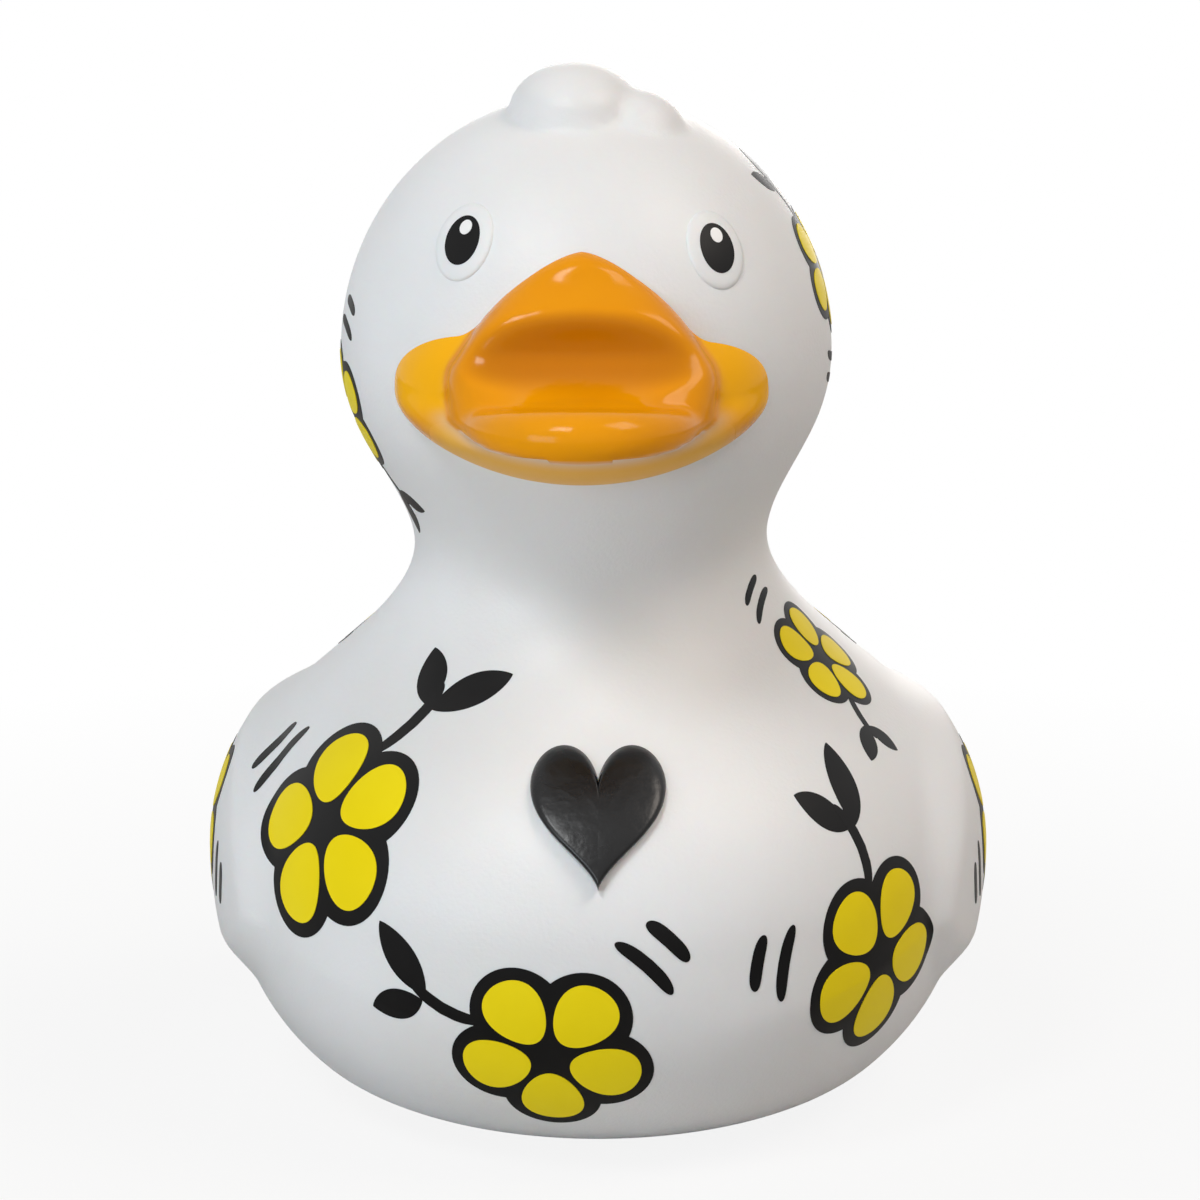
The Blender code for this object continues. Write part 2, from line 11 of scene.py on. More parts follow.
import bmesh
import bpy
import numpy as np
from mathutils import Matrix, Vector


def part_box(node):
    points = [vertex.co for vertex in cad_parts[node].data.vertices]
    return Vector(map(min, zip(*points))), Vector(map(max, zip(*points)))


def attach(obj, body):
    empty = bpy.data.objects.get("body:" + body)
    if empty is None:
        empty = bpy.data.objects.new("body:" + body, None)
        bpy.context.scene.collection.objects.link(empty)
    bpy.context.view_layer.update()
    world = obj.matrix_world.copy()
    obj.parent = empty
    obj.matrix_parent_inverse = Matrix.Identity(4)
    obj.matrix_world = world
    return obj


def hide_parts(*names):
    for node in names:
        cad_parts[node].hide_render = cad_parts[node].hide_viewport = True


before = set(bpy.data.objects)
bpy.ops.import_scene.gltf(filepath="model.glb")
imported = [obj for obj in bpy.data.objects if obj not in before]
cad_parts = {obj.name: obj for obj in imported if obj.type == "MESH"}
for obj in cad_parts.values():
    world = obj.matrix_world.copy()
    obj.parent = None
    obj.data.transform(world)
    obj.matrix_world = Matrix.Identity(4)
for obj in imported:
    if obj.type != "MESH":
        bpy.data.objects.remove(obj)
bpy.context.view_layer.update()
MM = 0.001
plug_low, plug_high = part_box("whistle")
stand = (plug_low + plug_high) / 2

# %% [markdown]
# ## Camera
#
# The duck was photographed from the front, a little from above and from close by, so the head
# looks large. A long lens at 37 cm gives the same perspective. The aim is a point near the duck's
# middle, and a small shift of the lens frames the duck as in the photograph.

# %% Camera
CAMERA_DISTANCE = 370.5 * MM
CAMERA_ELEVATION = math.radians(12)
AIM_FORWARD, AIM_HEIGHT = 2.9 * MM, 44.85 * MM
aim = Vector((stand.x, stand.y - AIM_FORWARD, AIM_HEIGHT))
sight = Vector((0.0, math.cos(CAMERA_ELEVATION), -math.sin(CAMERA_ELEVATION)))
bpy.ops.object.camera_add(location=aim - sight * CAMERA_DISTANCE)
camera = bpy.context.object
camera.rotation_euler = sight.to_track_quat("-Z", "Y").to_euler()
camera.data.sensor_width = 36.0
camera.data.lens = 114.4
camera.data.shift_x = 0.0016
camera.data.shift_y = 0.021
camera.data.clip_start = 0.01
bpy.context.scene.camera = camera

# %% [markdown]
# ## Floor, backdrop and light
#
# The duck stands on a plain white floor. To the camera the floor round the duck is one part of
# its own pale grey, which keeps the soft shadow, to seven parts of a flat white. Further out it
# is all flat white, so that it runs into the backdrop. Four soft lamps light the duck: a small
# key lamp above on the left, a cool wide one low on the left, like a window, a warm one above on
# the right, and one behind that brightens the edges. The world fills in the rest.

# %% Floor, backdrop and light
scene = bpy.context.scene
scene.view_settings.view_transform = "Standard"


def new_material(name):
    """A material with its node tree, and its Principled shader."""
    material = bpy.data.materials.new(name)
    material.use_nodes = True
    return material, material.node_tree, material.node_tree.nodes["Principled BSDF"]


def node(tree, kind, **properties):
    """A new node with its properties set."""
    made = tree.nodes.new(kind)
    for name, value in properties.items():
        setattr(made, name, value)
    return made


def srgb(red, green, blue):
    """A colour as picked from a picture, in the linear values that shaders take."""
    linear = []
    for level in (red / 255, green / 255, blue / 255):
        linear.append(level / 12.92 if level < 0.04 else ((level + 0.055) / 1.055) ** 2.4)
    return linear + [1.0]


FLOOR_RADIUS = 1.6
SHADOW_REACH = (0.05, 0.18)
FLAT_WHITE_SHARE = (0.88, 1.0)
bpy.ops.mesh.primitive_circle_add(vertices=96, radius=FLOOR_RADIUS, fill_type="NGON")
floor = bpy.context.object
floor.name = "floor"
material, tree, shader = new_material("floor_white")
shader.inputs["Base Color"].default_value = srgb(198, 197, 196)
shader.inputs["Roughness"].default_value = 0.9
place = node(tree, "ShaderNodeTexCoord")
away = node(tree, "ShaderNodeVectorMath", operation="LENGTH")
fade = node(tree, "ShaderNodeMapRange")
fade.inputs["From Min"].default_value = SHADOW_REACH[0]
fade.inputs["From Max"].default_value = SHADOW_REACH[1]
fade.inputs["To Min"].default_value = FLAT_WHITE_SHARE[0]
fade.inputs["To Max"].default_value = FLAT_WHITE_SHARE[1]
path = node(tree, "ShaderNodeLightPath")
seen = node(tree, "ShaderNodeMath", operation="MULTIPLY")
white = node(tree, "ShaderNodeEmission")
white.inputs["Color"].default_value = (1.0, 1.0, 1.0, 1.0)
mix = node(tree, "ShaderNodeMixShader")
tree.links.new(place.outputs["Object"], away.inputs[0])
tree.links.new(away.outputs["Value"], fade.inputs["Value"])
tree.links.new(fade.outputs["Result"], seen.inputs[0])
tree.links.new(path.outputs["Is Camera Ray"], seen.inputs[1])
tree.links.new(seen.outputs[0], mix.inputs["Fac"])
tree.links.new(shader.outputs[0], mix.inputs[1])
tree.links.new(white.outputs[0], mix.inputs[2])
tree.links.new(mix.outputs[0], tree.nodes["Material Output"].inputs["Surface"])
floor.data.materials.append(material)

world = bpy.data.worlds.new("studio")
scene.world = world
world.use_nodes = True
tree = world.node_tree
fill = tree.nodes["Background"]
fill.inputs["Color"].default_value = (1.0, 0.95, 0.91, 1.0)
fill.inputs["Strength"].default_value = 0.13
shown = node(tree, "ShaderNodeBackground")
shown.inputs["Color"].default_value = (1.0, 1.0, 1.0, 1.0)
path = node(tree, "ShaderNodeLightPath")
direct = node(tree, "ShaderNodeMath", operation="MAXIMUM")
mirrored = node(tree, "ShaderNodeMath", operation="MAXIMUM")
mix = node(tree, "ShaderNodeMixShader")
tree.links.new(path.outputs["Is Camera Ray"], direct.inputs[0])
tree.links.new(path.outputs["Is Glossy Ray"], direct.inputs[1])
tree.links.new(direct.outputs[0], mirrored.inputs[0])
tree.links.new(path.outputs["Is Transmission Ray"], mirrored.inputs[1])
tree.links.new(mirrored.outputs[0], mix.inputs["Fac"])
tree.links.new(fill.outputs[0], mix.inputs[1])
tree.links.new(shown.outputs[0], mix.inputs[2])
tree.links.new(mix.outputs[0], tree.nodes["World Output"].inputs["Surface"])


def add_lamp(name, place, size, power, colour):
    """A square soft lamp that faces the middle of the duck."""
    bpy.ops.object.light_add(type="AREA", location=place)
    lamp = bpy.context.object
    lamp.name = name
    lamp.rotation_euler = (aim - Vector(place)).to_track_quat("-Z", "Y").to_euler()
    lamp.data.size = size
    lamp.data.energy = power
    lamp.data.color = colour


add_lamp("key_lamp", (-0.38, -0.62, 0.86), 0.28, 4.4, (0.97, 0.99, 1.0))
add_lamp("window_lamp", (-0.74, -0.76, 0.10), 0.60, 5.6, (0.84, 0.93, 1.0))
add_lamp("warm_lamp", (0.60, -0.24, 0.85), 0.45, 4.7, (1.0, 0.90, 0.81))
add_lamp("back_lamp", (0.15, 1.20, 0.22), 0.60, 4.0, (1.0, 0.98, 0.96))

# %% [markdown]
# ## The form of the duck
#
# A moulded duck has no edges to model from: body, tail, neck and head flow into each other. Such a
# form is easiest as a distance field, a formula that is negative inside the duck and positive
# outside. Eggs and round rods are blended with soft unions. The sizes are those of the measured
# solid, so the fine skin lies where it is, but the belly is slightly fuller and the edge at the
# ground rounder.

# %% Distance field of the duck
BODY_CENTRE = np.array((stand.x, stand.y, 23.3 * MM))
BODY_LOW = np.array((36.4, 42.5, 27.8)) * MM
BODY_HIGH = np.array((36.4, 38.0, 25.8)) * MM
BELLY_FULLNESS = 2.38
BASE_EDGE_SOFTNESS = 4.4 * MM
HEAD_CENTRE = BODY_CENTRE + np.array((-1.1, -11.0, 49.8)) * MM
HEAD_LOW = np.array((22.9, 22.5, 19.3)) * MM
HEAD_HIGH = np.array((22.9, 22.5, 23.7)) * MM
FACE_TILT = math.radians(1.8)
NECK_ROOT = BODY_CENTRE + np.array((-0.33, -4.95, 18.06)) * MM
NECK_TOP = HEAD_CENTRE + np.array((0.0, 2.2, -7.72)) * MM
NECK_RADII = (19.4 * MM, 13.2 * MM)
TAIL_ROOT = BODY_CENTRE + np.array((0.0, 20.9, 5.68)) * MM
TAIL_TIP = BODY_CENTRE + np.array((0.0, 38.7, 21.0)) * MM
TAIL_RADII = (13.0 * MM, 3.8 * MM)
TAIL_BLEND, NECK_BLEND, CHEEK_BLEND = 9.0 * MM, 9.8 * MM, 8.8 * MM


def soft_union(first, second, blend):
    """Two fields in one, which flow into each other over the blend."""
    share = np.clip(0.5 + 0.5 * (second - first) / blend, 0.0, 1.0)
    return second + (first - second) * share - blend * share * (1.0 - share)


def egg(points, centre, low, high, fullness=2.0):
    """An ellipsoid with its own radius on each side of its centre, and fuller flanks below it."""
    offset = points - centre
    radii = np.where(offset < 0.0, low, high)
    share = offset / radii
    power = np.where(offset[..., 2] < 0.0, fullness, 2.0)
    level = np.hypot(share[..., 0], share[..., 1])
    size = (level**power + np.abs(share[..., 2]) ** power) ** (1.0 / power)
    slope = np.linalg.norm(share / radii, axis=-1) / np.maximum(np.linalg.norm(share, axis=-1), 1e-6)
    return (size - 1.0) / np.maximum(slope, 1e-6)


def round_rod(points, start, end, radii):
    """A rod with round ends, which tapers from the first radius to the second."""
    line = end - start
    along = np.clip((points - start) @ line / (line @ line), 0.0, 1.0)
    distance = np.linalg.norm(points - start - along[..., None] * line, axis=-1)
    return distance - (radii[0] + (radii[1] - radii[0]) * along)


def ease(value):
    """From 0 to 1 with a slow start and a slow end."""
    value = np.clip(value, 0.0, 1.0)
    return value * value * (3.0 - 2.0 * value)


def bare_form(points):
    """Body, tail, neck and head."""
    body = egg(points, BODY_CENTRE, BODY_LOW, BODY_HIGH, BELLY_FULLNESS)
    body = soft_union(body, round_rod(points, TAIL_ROOT, TAIL_TIP, TAIL_RADII), TAIL_BLEND)
    neck = round_rod(points, NECK_ROOT, NECK_TOP, NECK_RADII)
    head = soft_union(egg(points, HEAD_CENTRE, HEAD_LOW, HEAD_HIGH), neck, CHEEK_BLEND)
    return soft_union(body, head, NECK_BLEND)


# %% [markdown]
# ## Wings and crest
#
# Each wing is a drop-shaped area of the side, round in front and pointed behind, that stands
# 1.7 mm proud with a soft edge. In a distance field that is a number taken off inside the drop.
# The crest is two pebbles side by side on the crown, a large one and a small one. Each is given
# by its place from the head's centre and its three radii, in mm.

# %% Wings and crest in the field
WING_HALF_LENGTH = 28.0 * MM
WING_HALF_HEIGHT = 11.48 * MM
WING_POINTEDNESS = 0.45
WING_EDGE, WING_EDGE_TAPER = 3.8 * MM, 1.5 * MM
WING_RAISE = 1.7 * MM
WING_TILT = math.radians(15)
WING_MIDDLE = BODY_CENTRE + np.array((0.0, 4.0, 4.0)) * MM
WING_FADE_START, WING_FADE = 6.0 * MM, 12.0 * MM
CURLS = (
    ((-1.6, -3.5, 21.9), (6.2, 7.0, 4.8)),
    ((3.6, -4.7, 20.2), (5.0, 5.0, 4.3)),
)
CURL_BLEND = 0.5 * MM


def wing_rise(points):
    """How far the wing stands out at these points."""
    offset = points - WING_MIDDLE
    along = offset[..., 1] * math.cos(WING_TILT) + offset[..., 2] * math.sin(WING_TILT)
    beside = offset[..., 2] * math.cos(WING_TILT) - offset[..., 1] * math.sin(WING_TILT)
    share = np.clip(along / WING_HALF_LENGTH, -0.995, 0.995)

    def half_height(s):
        return WING_HALF_HEIGHT * np.sqrt(1.0 - s * s) * (1.0 - s) ** WING_POINTEDNESS

    step = 0.004
    steepness = (half_height(share + step) - half_height(share - step)) / (2 * step * WING_HALF_LENGTH)
    inside = (half_height(share) - np.abs(beside)) / np.sqrt(1.0 + steepness**2)
    edge = WING_EDGE - WING_EDGE_TAPER * share
    side = ease((np.abs(points[..., 0] - BODY_CENTRE[0]) - WING_FADE_START) / WING_FADE)
    return WING_RAISE * ease(inside / edge + 0.15) * side


def face_turn(points, back=False):
    """Turns points about the head's centre by the face's slight tilt."""
    angle = -FACE_TILT if back else FACE_TILT
    offset = points - HEAD_CENTRE
    x = offset[..., 0] * math.cos(angle) + offset[..., 2] * math.sin(angle)
    z = offset[..., 2] * math.cos(angle) - offset[..., 0] * math.sin(angle)
    return HEAD_CENTRE + np.stack((x, offset[..., 1], z), axis=-1)


def crest(points):
    """The two pebbles on the crown."""
    straight = face_turn(points, back=True)
    shapes = []
    for centre, radii in CURLS:
        radii = np.array(radii) * MM
        shapes.append(egg(straight, HEAD_CENTRE + np.array(centre) * MM, radii, radii))
    return soft_union(shapes[0], shapes[1], CURL_BLEND)


def skin_form(points):
    """The whole outer skin, with its flat base."""
    skin = bare_form(points) - wing_rise(points)
    skin = soft_union(skin, crest(points), CURL_BLEND)
    return -soft_union(-skin, points[..., 2], BASE_EDGE_SOFTNESS)


# %% [markdown]
# ## The skin
#
# A sphere with many points is added first. Each of its points then travels along its own ray to
# where the field turns from inside to outside. One centre can't see the whole duck round its
# narrow neck, so the rays fan out of the body, climb the neck and fan out of the head.

# %% Send a sphere's points out to the skin
NECK_START, NECK_END = 0.43, 0.64
SKIN_SEGMENTS, SKIN_RINGS = 288, 220
SKIN_RAY = 90 * MM
HALVINGS = 26


def cast(form, starts, directions, reach):
    """The place on each ray where it leaves the form, found by halving the ray again and again."""
    near = np.zeros(len(starts))
    far = np.full(len(starts), reach)
    for _ in range(HALVINGS):
        middle = (near + far) / 2.0
        inside = form(starts + directions * middle[:, None]) < 0.0
        near = np.where(inside, middle, near)
        far = np.where(inside, far, middle)
    return starts + directions * near[:, None]


def spine_rays(sphere_points):
    """The start and direction of each point's ray.

    From the sphere's low end to its high end, the rays fan out of the body, climb the neck and fan
    out of the head. Behind, they gather on the tail.
    """
    turn = np.arctan2(sphere_points[:, 0], -sphere_points[:, 1])
    behind = (1.0 - np.cos(turn)) / 2.0
    rise = np.arcsin(np.clip(sphere_points[:, 2], -1.0, 1.0)) / math.pi + 0.5
    low = np.minimum(rise / NECK_START, 1.0)
    climb = np.clip((rise - NECK_START) / (NECK_END - NECK_START), 0.0, 1.0)
    high = np.maximum((rise - NECK_END) / (1.0 - NECK_END), 0.0)
    chin = math.radians(-25)
    shoulder = math.radians(20) + math.radians(28) * behind**6
    slope = -math.pi / 2 + (shoulder + math.pi / 2) * (1.35 * low - 0.35 * low**2)
    slope = slope + (chin - shoulder) * climb + (math.pi / 2 - chin) * high
    starts = BODY_CENTRE + climb[:, None] * (HEAD_CENTRE - BODY_CENTRE)
    turn = turn + 0.45 * np.sin(turn) * behind**2
    level = np.cos(slope)
    directions = np.stack((level * np.sin(turn), -level * np.cos(turn), np.sin(slope)), axis=-1)
    return starts, directions


def read_points(piece):
    flat = np.empty(len(piece.data.vertices) * 3)
    piece.data.vertices.foreach_get("co", flat)
    return flat.reshape(-1, 3)


def write_points(piece, points):
    piece.data.vertices.foreach_set("co", np.asarray(points, float).ravel())
    piece.data.update()


def clear_selection():
    """Leaves nothing selected that the next operator would act on."""
    bpy.ops.object.select_all(action="DESELECT")


def pick(piece):
    """Makes a piece the active one and the only one selected."""
    clear_selection()
    piece.select_set(True)
    bpy.context.view_layer.objects.active = piece


def apply_modifiers(piece):
    pick(piece)
    for modifier in list(piece.modifiers):
        bpy.ops.object.modifier_apply(modifier=modifier.name)


clear_selection()
bpy.ops.mesh.primitive_uv_sphere_add(segments=SKIN_SEGMENTS, ring_count=SKIN_RINGS, radius=1.0)
skin = bpy.context.object
skin.name = "skin"
write_points(skin, cast(skin_form, *spine_rays(read_points(skin)), SKIN_RAY))
print("skin faces:", len(skin.data.polygons))

# %% [markdown]
# The base has a round recess for the whistle's flange and a hole that clears its barb. A cylinder
# with a step is cut out of the skin, as a drill with a counterbore would do it. The cylinder's
# middle is at the ground, so half of its depth is cut.

# %% Cut the whistle's socket
SOCKET_RADIUS, SOCKET_DEPTH = 8.0 * MM, 1.0 * MM
HOLE_STEP, HOLE_DEPTH = 1.6 * MM, 7.0 * MM
clear_selection()
bpy.ops.mesh.primitive_cylinder_add(
    vertices=96, radius=SOCKET_RADIUS, depth=2 * SOCKET_DEPTH, location=(stand.x, stand.y, 0.0)
)
drill = bpy.context.object
bpy.ops.object.mode_set(mode="EDIT")
bm = bmesh.from_edit_mesh(drill.data)
for face in bm.faces:
    face.select = face.normal.z > 0.9
bm.select_flush(True)
bmesh.update_edit_mesh(drill.data)
bpy.ops.mesh.inset(thickness=HOLE_STEP)
bpy.ops.mesh.extrude_region_move(TRANSFORM_OT_translate={"value": (0, 0, HOLE_DEPTH)})
bpy.ops.object.mode_set(mode="OBJECT")
cut = skin.modifiers.new("socket", "BOOLEAN")
cut.operation = "DIFFERENCE"
cut.object = drill
apply_modifiers(skin)
bpy.data.objects.remove(drill)
pick(skin)
bpy.ops.object.shade_smooth_by_angle(angle=math.radians(50))
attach(skin, "root")
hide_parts("duck")
print("skin faces with the socket:", len(skin.data.polygons))

# %% [markdown]
# ## White vinyl
#
# Soft vinyl has a satin skin with a very fine grain, and lets a little light in below the
# surface. The colour drifts slightly between warmer and cooler white, as handled vinyl does.

# %% White vinyl
def add_noise(tree, scale, detail=3.0, size=(1.0, 1.0, 1.0)):
    """Noise on Object coordinates; the output is centred on one half."""
    place = node(tree, "ShaderNodeTexCoord")
    stretch = node(tree, "ShaderNodeMapping")
    stretch.inputs["Scale"].default_value = size
    noise = node(tree, "ShaderNodeTexNoise")
    noise.inputs["Scale"].default_value = scale
    noise.inputs["Detail"].default_value = detail
    tree.links.new(place.outputs["Object"], stretch.inputs["Vector"])
    tree.links.new(stretch.outputs["Vector"], noise.inputs["Vector"])
    return noise.outputs["Fac"]


def ramp_between(tree, factor, low, high, start=0.35, end=0.65):
    """A colour that goes from low to high as the factor goes from start to end."""
    ramp = node(tree, "ShaderNodeValToRGB")
    ramp.color_ramp.elements[0].position = start
    ramp.color_ramp.elements[0].color = low
    ramp.color_ramp.elements[1].position = end
    ramp.color_ramp.elements[1].color = high
    tree.links.new(factor, ramp.inputs["Fac"])
    return ramp.outputs["Color"]


def add_bump(tree, shader, height, distance, strength=1.0):
    bump = node(tree, "ShaderNodeBump")
    bump.inputs["Strength"].default_value = strength
    bump.inputs["Distance"].default_value = distance
    tree.links.new(height, bump.inputs["Height"])
    tree.links.new(bump.outputs["Normal"], shader.inputs["Normal"])


def vary_roughness(tree, shader, factor, low, high):
    reach = node(tree, "ShaderNodeMapRange")
    reach.inputs["To Min"].default_value = low
    reach.inputs["To Max"].default_value = high
    tree.links.new(factor, reach.inputs["Value"])
    tree.links.new(reach.outputs["Result"], shader.inputs["Roughness"])


def drifting_material(name, scale, dark, light):
    """A material whose colour drifts between two close tones, in patches of that scale."""
    material, tree, shader = new_material(name)
    tone = ramp_between(tree, add_noise(tree, scale), dark, light)
    tree.links.new(tone, shader.inputs["Base Color"])
    return material, tree, shader


def give_material(piece, material):
    piece.data.materials.clear()
    piece.data.materials.append(material)


vinyl, tree, shader = drifting_material("white_vinyl", 28.0, srgb(231, 231, 231), srgb(236, 237, 239))
vary_roughness(tree, shader, add_noise(tree, 160.0), 0.38, 0.50)
shader.inputs["Specular IOR Level"].default_value = 0.35
shader.inputs["Subsurface Weight"].default_value = 0.12
shader.inputs["Subsurface Scale"].default_value = 1.5 * MM
add_bump(tree, shader, add_noise(tree, 2600.0, detail=2.0), 0.03 * MM)
give_material(skin, vinyl)
print("vinyl nodes:", len(tree.nodes))

# %% [markdown]
# ## The form of the bill
#
# The bill is moulded with the head and painted. Its upper half rises from the face as a pointed
# arch, which rolls over a ridge into a scoop above the rolled lip. The lower half is a bowl under
# the lip, and its ends rise to the cheeks. All four flow into each other, so they are one distance
# field as well. It is worked out in three directions of the bill's own: across from the middle,
# ahead of the face, and above the mouth.

# %% Distance field of the bill
BILL_SIDEWAYS = -0.3 * MM
MOUTH_DROP = 3.0 * MM
BILL_ROOT = 6.0 * MM
ARCH_HALF_WIDTH, ARCH_CORNER_LOSS = 12.5 * MM, 2.4 * MM
ARCH_HEIGHT, ARCH_REACH, ARCH_TOP_BACKSET = 14.3 * MM, 3.0 * MM, 3.0 * MM
FLOOR_HALF_WIDTH, FLOOR_REACH, FLOOR_BACKSET, FLOOR_HEIGHT = 9.4 * MM, 11.0 * MM, 1.0 * MM, 3.3 * MM
LIP_HALF_WIDTH, LIP_REACH, LIP_CORNER_REACH = 9.9 * MM, 11.2 * MM, -2.0 * MM
LIP_RADIUS, LIP_CORNER_RADIUS = 2.6 * MM, 0.8 * MM
SCOOP_CENTRE, SCOOP_DEPTH, SCOOP_HALF_WIDTH = 9.0 * MM, 7.8 * MM, 24.0 * MM
SCOOP_LEVEL, SCOOP_RISE, SCOOP_DROP = 6.0 * MM, 7.4 * MM, 3.6 * MM
JAW_HALF_WIDTH, JAW_MIDDLE = 17.0 * MM, -9.0 * MM
JAW_CHEEK_REACH, JAW_CHIN_REACH = 2.0 * MM, 6.7 * MM
JAW_LEVEL, JAW_CHIN_LEVEL = 1.8 * MM, -3.0 * MM
JAW_RISE, JAW_CHEEK_LOSS, JAW_FRONT_LOSS, JAW_MIDDLE_RISE = 10.4 * MM, 3.4 * MM, 5.0 * MM, 1.6 * MM
JAW_DEPTH, JAW_CORNER_LOSS = 8.6 * MM, 3.2 * MM
FLOOR_BLEND, SCOOP_BLEND, LIP_BLEND, JAW_BLEND = 4.6 * MM, 1.6 * MM, 0.5 * MM, 0.7 * MM


def arch_form(across, ahead, above):
    """The pointed arch of the upper bill, with a full front whose top leans back."""
    side = across / (ARCH_HALF_WIDTH - ARCH_CORNER_LOSS * ease(1.0 - 3.0 * above / ARCH_HEIGHT))
    rise = np.where(above > 0.0, above / ARCH_HEIGHT, -above / LIP_RADIUS)
    depth = BILL_ROOT + ARCH_REACH - ARCH_TOP_BACKSET * ease(2.4 * above / ARCH_HEIGHT - 1.1)
    front = (ahead + BILL_ROOT) / np.where(ahead > -BILL_ROOT, depth, -BILL_ROOT)
    return (((side**1.5 + rise**1.65) ** 3.0 + front**6.0) ** (1.0 / 4.5) - 1.0) * 9.0 * MM


def floor_form(across, ahead, above):
    """The shallow swelling between the arch and the lip."""
    front = (ahead + FLOOR_BACKSET) / (FLOOR_REACH + FLOOR_BACKSET)
    size = np.sqrt((across / FLOOR_HALF_WIDTH) ** 2 + front**2 + (above / FLOOR_HEIGHT) ** 2)
    return (size - 1.0) * FLOOR_HEIGHT


def lip_line(across, ahead):
    """The lip's middle line beside each point: its place, its radius, and the cosine of its turn."""
    reach = LIP_REACH - LIP_CORNER_REACH
    turn = np.arctan2(across / LIP_HALF_WIDTH, (ahead - LIP_CORNER_REACH) / reach)
    turn = np.minimum(turn, 0.6 * math.pi)
    swell = np.maximum(np.cos(turn), 0.0)
    radius = LIP_CORNER_RADIUS + (LIP_RADIUS - LIP_CORNER_RADIUS) * swell**1.3
    return LIP_HALF_WIDTH * np.sin(turn), reach * np.cos(turn), radius, swell


def lip_form(across, ahead, above):
    """The rolled edge, thin at the corners of the mouth."""
    side, front, radius, _ = lip_line(across, ahead)
    front = front + LIP_CORNER_REACH
    below = above + 0.1 * LIP_RADIUS
    return np.sqrt((across - side) ** 2 + (ahead - front) ** 2 + below**2) - radius


def scoop_form(across, ahead, above):
    """The bowl that is scooped out between the ridge and the lip, as by a spoon."""
    height = above - SCOOP_LEVEL
    height = height / np.where(height > 0.0, SCOOP_RISE, SCOOP_DROP)
    front = (ahead - SCOOP_CENTRE) / SCOOP_DEPTH
    return (np.sqrt((across / SCOOP_HALF_WIDTH) ** 2 + front**2 + height**2) - 1.0) * SCOOP_DEPTH


def jaw_form(across, ahead, above):
    """The bowl under the lip. It stands out most at the chin, and its ends rise to the cheeks."""
    share = across / JAW_HALF_WIDTH
    chin = ease((JAW_LEVEL - above) / (JAW_LEVEL - JAW_CHIN_LEVEL))
    reach = JAW_CHEEK_REACH + (JAW_CHIN_REACH - JAW_CHEEK_REACH) * chin
    reach = reach - 0.35 * np.maximum(above - JAW_LEVEL, 0.0) - JAW_MIDDLE
    level = np.hypot(share, (ahead - JAW_MIDDLE) / reach)
    front_loss = JAW_FRONT_LOSS * ease((2.0 * ahead + BILL_ROOT) / -JAW_MIDDLE)
    rise = JAW_RISE - JAW_CHEEK_LOSS * share**2 - front_loss
    rise = np.maximum(rise - JAW_MIDDLE_RISE, 0.0) * ease(3.4 * share - 1.0) + JAW_MIDDLE_RISE
    drop = JAW_DEPTH - JAW_CORNER_LOSS * share**2
    height = above - JAW_LEVEL
    power = np.where(height > 0.0, 2.4, 2.8)
    height = np.abs(height) / np.where(height > 0.0, rise, drop)
    return ((level**power + height**power) ** (1.0 / power) - 1.0) * 8.0 * MM


def bill_directions(points):
    """How far the points are across from the bill's middle, ahead of the face and above the mouth."""
    across = np.abs(points[..., 0] - HEAD_CENTRE[0] - BILL_SIDEWAYS)
    ahead = HEAD_CENTRE[1] - HEAD_LOW[1] - points[..., 1]
    above = points[..., 2] - HEAD_CENTRE[2] + MOUTH_DROP
    return across, ahead, above


def upper_form(points):
    """Arch, scoop and lip in one."""
    place = bill_directions(points)
    upper = soft_union(arch_form(*place), floor_form(*place), FLOOR_BLEND)
    upper = -soft_union(-upper, scoop_form(*place), SCOOP_BLEND)
    return soft_union(upper, lip_form(*place), LIP_BLEND)


def bill_form(points):
    """The whole bill, upper half and jaw."""
    return soft_union(upper_form(points), jaw_form(*bill_directions(points)), JAW_BLEND)


# %% [markdown]
# ## The bill
#
# As with the skin, a sphere's points are sent out to the form. They start from the bill's root
# inside the head, and stand closest together in front. The back half stays hidden in the head.

# %% Bill
BILL_SEGMENTS, BILL_RINGS = 260, 180
BILL_RAY = 34 * MM
GATHER_IN_FRONT = 0.45
clear_selection()
bpy.ops.mesh.primitive_uv_sphere_add(segments=BILL_SEGMENTS, ring_count=BILL_RINGS, radius=1.0)
bill = bpy.context.object
bill.name = "bill"
sphere_points = read_points(bill)
turn = np.arctan2(sphere_points[:, 0], -sphere_points[:, 1])
turn = turn - GATHER_IN_FRONT * np.sin(turn)
level = np.hypot(sphere_points[:, 0], sphere_points[:, 1])
rays = np.stack((level * np.sin(turn), -level * np.cos(turn), sphere_points[:, 2]), axis=-1)
bill_root = np.array((BILL_SIDEWAYS, -JAW_MIDDLE - HEAD_LOW[1], 0.7 * JAW_CHIN_LEVEL - MOUTH_DROP))
bill_root = bill_root + HEAD_CENTRE
write_points(bill, cast(bill_form, np.tile(bill_root, (len(rays), 1)), rays, BILL_RAY))
bpy.ops.object.shade_smooth()
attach(bill, "root")
print("bill faces:", len(bill.data.polygons))

# %% [markdown]
# ## Paint on the bill
#
# The bill is brushed with thick glossy orange. In the scoop the orange is painted deeper, as
# painted shade, and on the cheeks it is painted lighter, as painted light. Along the underside of
# the lip the brush left the bare vinyl showing, and below it the chin has one thinner, duller coat,
# which fades into the full orange of the cheeks. The share of each is worked out for each point
# and kept as an attribute of the mesh, where the material reads it.

# %% Paint shares and the orange gloss
bill_points = read_points(bill)
across, ahead, above = bill_directions(bill_points)
upper_gap = upper_form(bill_points)
jaw_gap = jaw_form(across, ahead, above)
_, _, lip_radius, _ = lip_line(across, ahead)


